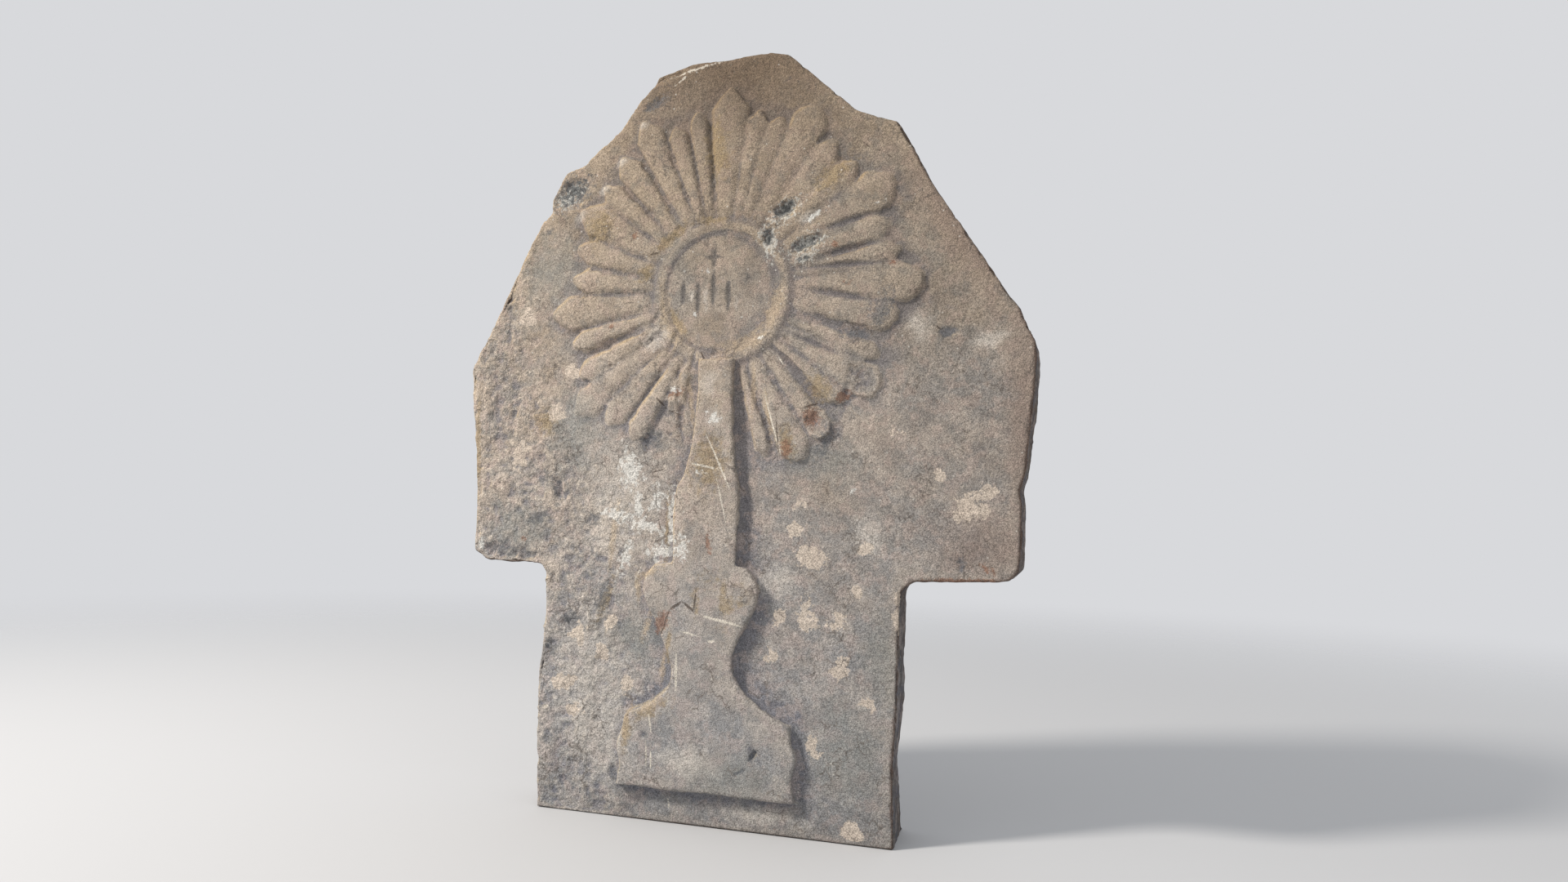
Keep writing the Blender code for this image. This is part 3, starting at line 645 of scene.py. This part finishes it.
def broken_sides_and_shade(tree, colour, place, mark):
    """Dark brown sides, with painted shade that darkens those below and on the right more than those on top,
    and blue-grey and fawn patches.
    """
    colour = stained(tree, colour, "#6E6255", mark["side"], 0.1, 0.7, 0.8)
    # Painted shade on the sides and edges that face right or down, away from the light.
    colour = stained(tree, colour, "#463E3C", mark["shaded_side"], 0.1, 0.7, 0.82)
    for code, size, seed in (("#666A73", 34, 11), ("#635A5E", 26, 12), ("#7D6D5C", 18, 13)):
        patch = {0: speckle(tree, place, size, seed, detail=5), 1: mark["side"]}
        patch = add(tree, "ShaderNodeMath", patch, operation="MULTIPLY").outputs[0]
        colour = stained(tree, colour, code, patch, 0.44, 0.64, 0.55)
    return colour


def blotch(tree, colour, place):
    """Pinkish and grey blotches about 18 mm across, all over."""
    pink, grey = speckle(tree, place, 19, seed=14, detail=4), speckle(tree, place, 17, seed=15, detail=4)
    colour = stained(tree, colour, "#A8988E", pink, 0.50, 0.60, 0.5)
    return stained(tree, colour, "#7E7B77", grey, 0.52, 0.64, 0.5)


def side_light_and_tone(tree, colour, across, height):
    """Painted light and drifts of tone over the slab: the right darker and the left lighter, as light from
    the left makes them, then dark and cool below and warm above.
    """
    # Painted light: the right is darkened and the left lightened.
    colour = shaded(tree, colour, across, 0.0, 0.33, 1.0, 0.87)
    colour = shaded(tree, colour, across, 0.0, -0.30, 1.0, 1.16)
    colour = shaded(tree, colour, height, 0.10, 0.0, 1.0, 0.84)
    for tint, low, high in ((COOL_TINT, 0.42, 0.12), (WARM_TINT, 0.38, 0.76)):
        rise = {"Value": height, "From Min": low, "From Max": high}
        share = add(tree, "ShaderNodeMapRange", rise, interpolation_type="SMOOTHSTEP").outputs[0]
        layers = {MIX_SHARE: share, MIX_UNDER: colour, MIX_OVER: tint}
        mixed = add(tree, "ShaderNodeMix", layers, data_type="RGBA", blend_type="MULTIPLY")
        colour = mixed.outputs[MIX_RESULT]
    return colour


def stain(tree, colour, place, mark):
    """The stains, the lichen and the painted shade and highlights, each with a ragged edge."""
    # The noise adds half of its raggedness on average, and a mark ends where 0.3 of it is left.
    # The length of the mark's name is the seed.
    for name, code, size, ragged, soft, strength in STAINS:
        ragged_mark = torn(tree, place, mark[name], size, len(name), ragged)
        edge = 0.3 + 0.5 * ragged
        colour = stained(tree, colour, code, ragged_mark, edge - soft / 2, edge + soft / 2, strength)
    return colour


def scratch(tree, colour, place):
    """Pale scratches, lines of lime and a painted highlight along the stem's left edge, then dark cracks,
    each a little broken up along its length.
    """
    for lines, code, strength in ((SCRATCHES, "#CFC8BA", 0.75), (CRACKS, "#4A4038", 0.8)):
        nearest = 0.0
        for line in lines:
            either = {0: line_share(tree, place, line), 1: nearest}
            nearest = add(tree, "ShaderNodeMath", either, operation="MAXIMUM").outputs[0]
        nearest = torn(tree, place, nearest, 4, seed=9, ragged=1.4)
        colour = stained(tree, colour, code, nearest, 0.85, 1.25, strength)
    return colour


def craze(tree, colour, place):
    """Hairlines in the dried crust, here and there, about 1 mm wide and 15 to 40 mm apart."""
    wander = {"Vector": place, "Scale": 1 / (12 * MM), "Detail": 4.0}
    wander = add(tree, "ShaderNodeTexNoise", wander).outputs[1]
    wander = {0: wander, 1: (22 * MM, 22 * MM, 22 * MM), 2: place}
    wander = add(tree, "ShaderNodeVectorMath", wander, operation="MULTIPLY_ADD").outputs[0]
    crust = {"Vector": wander, "Scale": 1 / (28 * MM)}
    crust = add(tree, "ShaderNodeTexVoronoi", crust, feature="DISTANCE_TO_EDGE").outputs[0]
    whole = {"Value": speckle(tree, place, 45, seed=16, detail=3),
             "From Min": 0.46, "From Max": 0.58, "To Min": 0.1, "To Max": 0.0}
    whole = add(tree, "ShaderNodeMapRange", whole).outputs[0]
    crust = add(tree, "ShaderNodeMath", {0: crust, 1: whole}).outputs[0]
    return stained(tree, colour, "#5C544D", crust, 0.045, 0.005, 0.6)


def grain(tree, colour, place):
    """Sand grains, small bright flecks of quartz and lime, and dark pinholes."""
    # Sand grains are 0.3 to 0.6 mm. They are drawn 1.2 mm across, so that they show.
    grains, clumps = speckle(tree, place, 1.2, seed=6), speckle(tree, place, 3.6, seed=7, detail=3)
    colour = shaded(tree, colour, grains, 0.3, 0.7, 0.58, 1.42)
    colour = shaded(tree, colour, clumps, 0.3, 0.7, 0.86, 1.12)
    flecks = add(tree, "ShaderNodeTexVoronoi", {"Vector": place, "Scale": 1 / (16 * MM)}).outputs[0]
    colour = stained(tree, colour, "#CFCBC2", flecks, 0.09, 0.04, 0.5)
    holes = add(tree, "ShaderNodeTexVoronoi", {"Vector": place, "Scale": 1 / (11 * MM)}).outputs[0]
    return stained(tree, colour, "#55524E", holes, 0.13, 0.05, 0.5)


def grainy_relief(tree, place, rough):
    """The relief of the grains and of coarser lumps, which are higher where the face has spalled."""
    swell = add(tree, "ShaderNodeMapRange", {"Value": rough, "To Min": 0.6, "To Max": 2.0}).outputs[0]
    coarse = {0: speckle(tree, place, 6, seed=9, detail=3), 1: swell}
    coarse = add(tree, "ShaderNodeMath", coarse, operation="MULTIPLY").outputs[0]
    relief = {0: speckle(tree, place, 1.6, seed=8), 1: 0.35, 2: coarse}
    relief = add(tree, "ShaderNodeMath", relief, operation="MULTIPLY_ADD").outputs[0]
    bump = {"Strength": 1.0, "Distance": BUMP_HEIGHT * MM, "Height": relief}
    return add(tree, "ShaderNodeBump", bump).outputs[0]


def weathered_sandstone():
    """Fine-grained grey-beige sandstone, hand carved and long weathered: matt, grainy and blotched, with
    painted light and shade in its colour.
    """
    material = bpy.data.materials.new("weathered_sandstone")
    material.use_nodes = True
    tree = material.node_tree
    shader = tree.nodes["Principled BSDF"]
    shader.inputs["Roughness"].default_value = STONE_ROUGHNESS
    shader.inputs["IOR"].default_value = STONE_IOR
    shader.inputs["Specular IOR Level"].default_value = STONE_SPECULAR
    place = add(tree, "ShaderNodeTexCoord", {}).outputs["Object"]
    across, _, height = add(tree, "ShaderNodeSeparateXYZ", {0: place}).outputs
    mark = {name: add(tree, "ShaderNodeAttribute", {}, attribute_name=name).outputs["Fac"]
            for name in (*MARKS, *FORM_MARKS)}
    colour = bed_colour(tree, place, height)
    colour = mottle(tree, colour, place, mark["rough"])
    colour = hollow_dirt_and_shade(tree, colour, mark)
    colour = broken_sides_and_shade(tree, colour, place, mark)
    colour = blotch(tree, colour, place)
    colour = side_light_and_tone(tree, colour, across, height)
    colour = stain(tree, colour, place, mark)
    colour = scratch(tree, colour, place)
    colour = craze(tree, colour, place)
    colour = grain(tree, colour, place)
    tree.links.new(colour, shader.inputs["Base Color"])
    tree.links.new(grainy_relief(tree, place, mark["rough"]), shader.inputs["Normal"])
    return material


def make_stone():
    """The whole cross: the one stone, with its carving and its weathered surface."""
    stone = fine_copy(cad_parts["stone_cross"], "weathered_cross")
    wear(stone.data)
    thin_out(stone, TRIANGLES)
    keep_in_box(stone.data, cad_box)
    map_marks(stone.data)
    stone.data.shade_smooth()
    stone.data.materials.append(weathered_sandstone())
    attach(stone, "root")
    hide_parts("stone_cross")


def matt_pale_paint():
    """Matt pale grey paint, rolled on: even and without gloss. It fades to nothing far out."""
    material = bpy.data.materials.new("matt_pale_paint")
    material.use_nodes = True
    tree = material.node_tree
    shader = tree.nodes["Principled BSDF"]
    shader.inputs["Base Color"].default_value = to_linear("#C2C3C4")
    shader.inputs["Roughness"].default_value = 0.9
    place = add(tree, "ShaderNodeTexCoord", {}).outputs["Object"]
    away = add(tree, "ShaderNodeVectorMath", {0: place}, operation="LENGTH").outputs["Value"]
    clear = add(tree, "ShaderNodeBsdfTransparent", {}).outputs[0]
    rise = {"Value": away, "From Min": FLOOR_FADE[0], "From Max": FLOOR_FADE[1]}
    share = add(tree, "ShaderNodeMapRange", rise, interpolation_type="SMOOTHSTEP").outputs[0]
    faded = {0: share, 1: shader.outputs[0], 2: clear}
    both = add(tree, "ShaderNodeMixShader", faded).outputs[0]
    tree.links.new(both, tree.nodes["Material Output"].inputs["Surface"])
    return material


def make_floor():
    """A plain pale floor that fades into the backdrop towards its rim."""
    mesh = bpy.data.meshes.new("floor")
    bm = bmesh.new()
    bmesh.ops.create_circle(bm, cap_ends=True, segments=96, radius=FLOOR_RADIUS)
    bm.to_mesh(mesh)
    bm.free()
    floor = bpy.data.objects.new("floor", mesh)
    floor.location.z = -FLOOR_DROP
    bpy.context.scene.collection.objects.link(floor)
    mesh.materials.append(matt_pale_paint())


def make_studio():
    """Soft light from the upper left in front, and a pale room all round."""
    world = bpy.data.worlds.new("room")
    world.use_nodes = True
    background = world.node_tree.nodes["Background"]
    background.inputs["Color"].default_value = to_linear("#D8D9DC")
    background.inputs["Strength"].default_value = 1.0
    bpy.context.scene.world = world
    data = bpy.data.lights.new("key", "AREA")
    data.shape = "DISK"
    data.size = KEY_WIDTH
    data.energy = KEY_POWER
    data.color = to_linear(KEY_COLOUR)[:3]
    lamp = bpy.data.objects.new("key", data)
    lamp.location = KEY_PLACE
    lamp.rotation_euler = (Vector(KEY_AIM) - Vector(KEY_PLACE)).to_track_quat("-Z", "Y").to_euler()
    bpy.context.scene.collection.objects.link(lamp)


def make_camera():
    """The camera, turned to the left, lifted, and tilted about its own view."""
    data = bpy.data.cameras.new("camera")
    data.lens = CAMERA_LENS
    data.sensor_width = CAMERA_SENSOR
    data.clip_start = 0.01
    camera = bpy.data.objects.new("camera", data)
    level = Matrix.Rotation(CAMERA_TURN, 3, "Z") @ Matrix.Rotation(CAMERA_LIFT, 3, "X")
    right, forward, up = (level @ Vector(axis) for axis in ((1, 0, 0), (0, 1, 0), (0, 0, 1)))
    cosine, sine = math.cos(CAMERA_TILT), math.sin(CAMERA_TILT)
    turned = Matrix((cosine * right + sine * up, cosine * up - sine * right, -forward)).transposed()
    camera.matrix_world = Matrix.Translation(CAMERA_PLACE) @ turned.to_4x4()
    bpy.context.scene.collection.objects.link(camera)
    bpy.context.scene.camera = camera


make_camera()
make_studio()
make_floor()
make_stone()
bpy.context.scene.view_settings.view_transform = "Standard"
